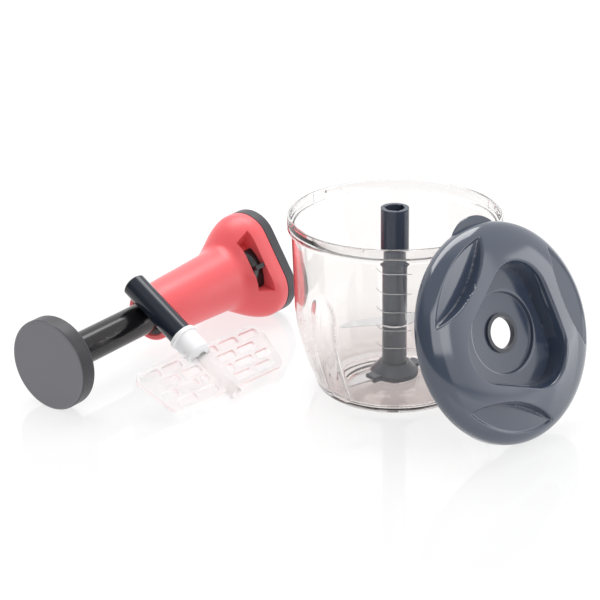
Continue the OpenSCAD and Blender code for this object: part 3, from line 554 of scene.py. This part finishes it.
lid_turn = np.linspace(0, 2 * math.pi, LID_AROUND, endpoint=False)
recess_line = lobed_radius(lid_turn, LOBE_AT, LOBE_R, RECESS_AT[0])
under_line = lobed_radius(lid_turn, LOBE_AT, LOBE_R + LID_WALL, RECESS_AT[0])


def lid_ring(radius, wall=0):
    """One ring on the lid's face or its inner face, at a radius in each direction."""
    x, y = radius * np.cos(lid_turn), radius * np.sin(lid_turn)
    return ring_points(lid_turn, radius, lid_height(x, y, wall))


# The rings are round up to the step, follow the recess's outline at its wall, and are round again
# at the edge, so that every wall and corner lies along a ring.
lid_rings = [lid_ring(r) for r in (COLLAR_R, 14, 17, 20, 23, 24.8)]
lid_rings += [lid_ring(STEP_R + away) for away in (-0.3, -0.24, 0, 0.24, 0.3)]
floor_from, floor_to = STEP_R + 0.5, recess_line - LIP_IN - 0.4
for share in np.linspace(0.12, 1, FLOOR_RINGS):
    lid_rings.append(lid_ring(floor_from + (floor_to - floor_from) * share))
for away in (-LIP_IN - 0.05, -LIP_IN + 0.01, -LIP_IN + 0.08, -0.85, -0.6, -0.3,
             0.1, 0.5, 0.9, 1.3, 1.8, LIP_R, LIP_R + 0.4):
    lid_rings.append(lid_ring(recess_line + away))
lip_out = recess_line + LIP_R + 0.4
for share in np.linspace(0, 1, FACE_RINGS + 1)[1:]:
    lid_rings.append(lid_ring(lip_out + (FACE_EDGE_R - lip_out) * share))
lid_rings += [lid_ring(r) for r in (69.0, 69.35, 69.6, 69.75)]
lid_rings += [ring_points(lid_turn, r, z) for r, z in (
    (LID_R, 1.0), (LID_R, -LID_EDGE + 0.5), (LID_R - 0.15, -LID_EDGE + 0.15),
    (LID_R - 0.5, -LID_EDGE), (RING_R, -LID_EDGE))]
for share in np.linspace(0, 1, UNDER_RINGS + 1)[1:]:
    lid_rings.append(lid_ring(UNDER_EDGE_R + (under_line + LIP_R - UNDER_EDGE_R) * share, LID_WALL))
for away in (1.4, 0.6, -0.2, -0.8, -LIP_IN + 0.05, -LIP_IN - 0.1):
    lid_rings.append(lid_ring(under_line + away, LID_WALL))
lid_rings += [lid_ring(r, LID_WALL) for r in (28.2, 27.9, 27.5, 27.2, 20.0, COLLAR_R)]
lid = new_piece("lid_moulding", placed(lid_place, np.concatenate(lid_rings)),
                rings_to_faces(len(lid_rings), LID_AROUND, loop=True), 48)

# The tab is a disc that grows out of the lid's edge; what would lie further in is pushed out to
# 1 mm inside that edge.
tab_points = []
for level, inset in ((0, TAB_ROUND), (TAB_ROUND, 0), (TAB_T - TAB_ROUND, 0), (TAB_T, TAB_ROUND)):
    for a in np.linspace(0, 2 * math.pi, TAB_AROUND, endpoint=False):
        along = TAB_REACH - TAB_R + (TAB_R - inset) * math.cos(a)
        across = (TAB_R - inset) * math.sin(a)
        at = math.atan2(across, along) + math.radians(TAB_AT)
        r = max(math.hypot(along, across), LID_R - 1)
        tab_points.append((r * math.cos(at), r * math.sin(at), level - LID_EDGE))
tab = new_piece("lid_thumb_tab", placed(lid_place, tab_points),
                rings_to_faces(4, TAB_AROUND, close_ends=True), 40)

# ABS from a polished tool: a broad satin highlight with a thin clear gloss over it.
lid_abs = moulded_plastic("blue_grey_abs_satin", "#363F51", "#3B4557", 0.12, 0.45, 0.02,
                          gleam=0.8, coat_weight=0.4)
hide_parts("lid_cover")
for piece in (lid, tab):
    piece.data.materials.append(lid_abs)
    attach(piece, "lid")
coat(["lid_ring"], lid_abs)
# The collar is a separate ring of dark grey ABS, duller than the lid.
collar_grey = moulded_plastic("dark_grey_abs_satin", "#3A3D45", "#40434B", 0.3, 0.4, 0.05)
coat(["lid_bush"], collar_grey)

# --- Push unit's casing -----------------------------------------------------------------------
# Coral ABS with a soft sheen, moulded in one: a slightly tapered barrel that spreads into a
# flange with three round lobes, with a pocket in the spread for the lock switch.
KNOB_X, KNOB_Y, PUSH_Z, PUSH_RISE, PUSH_AZ = -227.5, -33.0, 30.9991, 0.4396, 53.4
CASE_FROM, CASE_TO, MOUTH_ROUND, CASE_AROUND = 101.5, 210.0, 1.5, 216
# Radius of the lobes, and how far out they sit, at each length from the knob's face.
LOBE_LINE = [(101.5, 18.8), (110, 19.4), (120, 20.1), (140, 21.1), (160, 22.0), (174, 22.6),
             (182, 22.85), (190, 22.9), (202, 23.0), (210, 23.0)]
SPREAD_LINE = [(101.5, 0), (168, 0), (174, 0.1), (178, 0.5), (182, 2.4), (186, 6.9), (190, 11.4),
               (194, 14.9), (198, 17.4), (202, 18.9), (204, 19.1), (210, 19.1)]
# The way back inside: the room for the drive, then the bore that guides the shaft.
BORE_LINE = [(20.5, 210.0), (20.5, 181.0), (17.0, 114.5), (14.5, 114.4), (14.5, 102.6),
             (15.6, 101.5)]
POCKET_IN, POCKET_OUT, POCKET_FROM, POCKET_TO = 23.8, 46.0, 187.0, 196.8
POCKET_LOW, POCKET_HIGH, POCKET_STEPS = 111.0, 189.0, 24

push_place = (Matrix.Translation((KNOB_X / 1000, KNOB_Y / 1000, PUSH_Z / 1000))
              @ Matrix.Rotation(math.radians(PUSH_AZ + 90), 4, "Z")
              @ Matrix.Rotation(math.radians(90 - PUSH_RISE), 4, "X"))


def smooth_through(points, x):
    """A smooth curve through (x, value) points, read at x."""
    points = np.asarray(points, float)
    px, py = points[:, 0], points[:, 1]
    slope = np.gradient(py, px)
    i = np.clip(np.searchsorted(px, x) - 1, 0, len(px) - 2)
    w = px[i + 1] - px[i]
    t = np.clip((x - px[i]) / w, 0, 1)
    return ((2 * t ** 3 - 3 * t ** 2 + 1) * py[i] + (t ** 3 - 2 * t ** 2 + t) * w * slope[i]
            + (3 * t ** 2 - 2 * t ** 3) * py[i + 1] + (t ** 3 - t ** 2) * w * slope[i + 1])


# Rings along the casing as length and inset: round at the barrel's mouth, closer together over the
# spread, and with a broken edge at the flange.
stations = [(CASE_FROM + MOUTH_ROUND * (1 - math.sin(a)), MOUTH_ROUND * (1 - math.cos(a)))
            for a in np.radians((90, 72, 54, 36, 18))]
stations += [(length, 0) for length in np.linspace(CASE_FROM + MOUTH_ROUND, 176, 38)]
stations += [(length, 0) for length in np.linspace(177, CASE_TO - 1.2, 54)]
stations += [(CASE_TO - 0.6, 0.15), (CASE_TO - 0.2, 0.45), (CASE_TO, 0.9)]
case_turn = np.linspace(0, 2 * math.pi, CASE_AROUND, endpoint=False)
case_rings = []
for length, inset in stations:
    outline = lobed_radius(case_turn, smooth_through(SPREAD_LINE, length),
                           smooth_through(LOBE_LINE, length))
    case_rings.append(ring_points(case_turn, outline - inset, length))
case_rings += [ring_points(case_turn, r, length) for r, length in BORE_LINE]
casing = new_piece("casing_moulding", placed(push_place, np.concatenate(case_rings)),
                   rings_to_faces(len(case_rings), CASE_AROUND, loop=True), 40)

pocket_points, pocket_faces = curved_block((POCKET_IN, POCKET_OUT), (POCKET_FROM, POCKET_TO),
                                           POCKET_LOW, POCKET_HIGH, POCKET_STEPS)
pocket = new_piece("switch_pocket", placed(push_place, pocket_points), pocket_faces)
cutting = casing.modifiers.new("pocket", "BOOLEAN")
cutting.object = pocket
cutting.operation = "DIFFERENCE"
cutting.solver = "EXACT"
cut_casing = casing.evaluated_get(bpy.context.evaluated_depsgraph_get())
cut_mesh = bpy.data.meshes.new_from_object(cut_casing)
casing.modifiers.clear()
casing.data = cut_mesh
bpy.data.objects.remove(pocket)
shade(casing, 40)

# ABS from a finely eroded tool: a wide, soft highlight that leaves the coral bright.
coral_abs = moulded_plastic("coral_abs_soft_sheen", "#F2595F", "#F66166", 0.36, 0.5, 0.05,
                            coat_weight=0.3)
casing.data.materials.clear()
casing.data.materials.append(coral_abs)
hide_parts("push_casing")
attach(casing, "casing")

# The base plate is matt grey ABS. The shaft, the ring round it and the switch are polished black
# ABS, which mirrors the softboxes as narrow streaks.
plate_grey = moulded_plastic("warm_grey_abs_matt", "#3E3D42", "#444349", 0.4, 0.4, 0.08)
coat(["casing_base"], plate_grey)
gloss_black = moulded_plastic("black_abs_gloss", "#121114", "#161518", 0.16, 0.6, 0.006)
coat(["guide_ring", "plunger_shaft", "lock_switch"], gloss_black)

# --- Return spring ----------------------------------------------------------------------------
# Round steel wire, coiled in thirteen turns. It sits between the nut and the rod's bearing and
# moves with the casing at one length.
spring = bpy.data.objects.new("return_spring_coil", nodes["return_spring"].data.copy())
bpy.context.scene.collection.objects.link(spring)
shade(spring, 60)
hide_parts("return_spring")
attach(spring, "casing")
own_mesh(spring)

# --- Knob -------------------------------------------------------------------------------------
# Warm grey ABS in two pieces, the cap and the body. The palm's face is spark-eroded and matt.
# Its colour is painted light, lighter than the side, and the side's colour is painted shade.
KNOB_AXIS = tuple(push_place.to_3x3() @ Vector((0, 0, -1)))
# The eroded face scatters light, with a grit of about 0.4 mm, drawn coarser than the real one.
knob_grey_painted_light, tree = new_material("warm_grey_abs_eroded_painted_light")
place = add(tree, "ShaderNodeTexCoord")
grain = add(tree, "ShaderNodeTexNoise", {"Vector": place.outputs["Object"]},
            Scale=2800.0, Detail=3.0, Roughness=0.6)
facing = add(tree, "ShaderNodeVectorMath", {0: place.outputs["Normal"]}, operation="DOT_PRODUCT")
facing.inputs[1].default_value = KNOB_AXIS
eroded_face_and_painted_light = add(tree, "ShaderNodeMapRange", {"Value": facing.outputs["Value"]},
             interpolation_type="SMOOTHSTEP", From_Min=0.35, From_Max=0.95)
# Painted light and shade: the face along the knob's axis is painted light grey, the side dark.
tone = add(tree, "ShaderNodeValToRGB", {"Fac": eroded_face_and_painted_light.outputs["Result"]})
tone.color_ramp.elements[0].color = linear("#38383C")
tone.color_ramp.elements[1].color = linear("#7B7A80")
gloss = add(tree, "ShaderNodeMapRange", {"Value": eroded_face_and_painted_light.outputs["Result"]},
            To_Min=0.42, To_Max=0.52)
bump = add(tree, "ShaderNodeBump", {"Height": grain.outputs["Fac"]}, Strength=0.12, Distance=0.0002)
shader = add(tree, "ShaderNodeBsdfPrincipled",
             {"Base Color": tone.outputs["Color"], "Roughness": gloss.outputs["Result"],
              "Normal": bump.outputs["Normal"]}, IOR=1.5)
finish_material(tree, shader)
coat(["knob_cap", "knob_body"], knob_grey_painted_light)

# --- Whisk ------------------------------------------------------------------------------------
# A dark ABS tube that takes the drive, a white acetal hub pressed over its end, and a clear
# polypropylene paddle that is moulded as one with its spine and pivot boss.
# The tube's ABS comes from a polished tool, a bluish black with narrow bright streaks.
tube_abs = moulded_plastic("navy_grey_abs_gloss", "#1A202C", "#1E2531", 0.14, 0.6, 0.006)
coat(["whisk_tube"], tube_abs)
coat(["whisk_hub"], white_acetal)
# Thin clear polypropylene with a satin face: a grain of about 0.6 mm, drawn coarser than the real
# one, and a low IOR, so that its many thin edges stay pale instead of dark.
frosted_paddle, tree = new_material("clear_polypropylene_satin")
place = add(tree, "ShaderNodeTexCoord")
grain = add(tree, "ShaderNodeTexNoise", {"Vector": place.outputs["Object"]},
            Scale=1800.0, Detail=2.0)
bump = add(tree, "ShaderNodeBump", {"Height": grain.outputs["Fac"]}, Strength=0.1, Distance=0.0002)
shader = add(tree, "ShaderNodeBsdfPrincipled", {"Normal": bump.outputs["Normal"]},
             Base_Color=linear("#F9F7F7"), Roughness=0.42, IOR=1.15, Transmission_Weight=0.85)
finish_material(tree, shader)
coat(["whisk_paddle"], frosted_paddle)
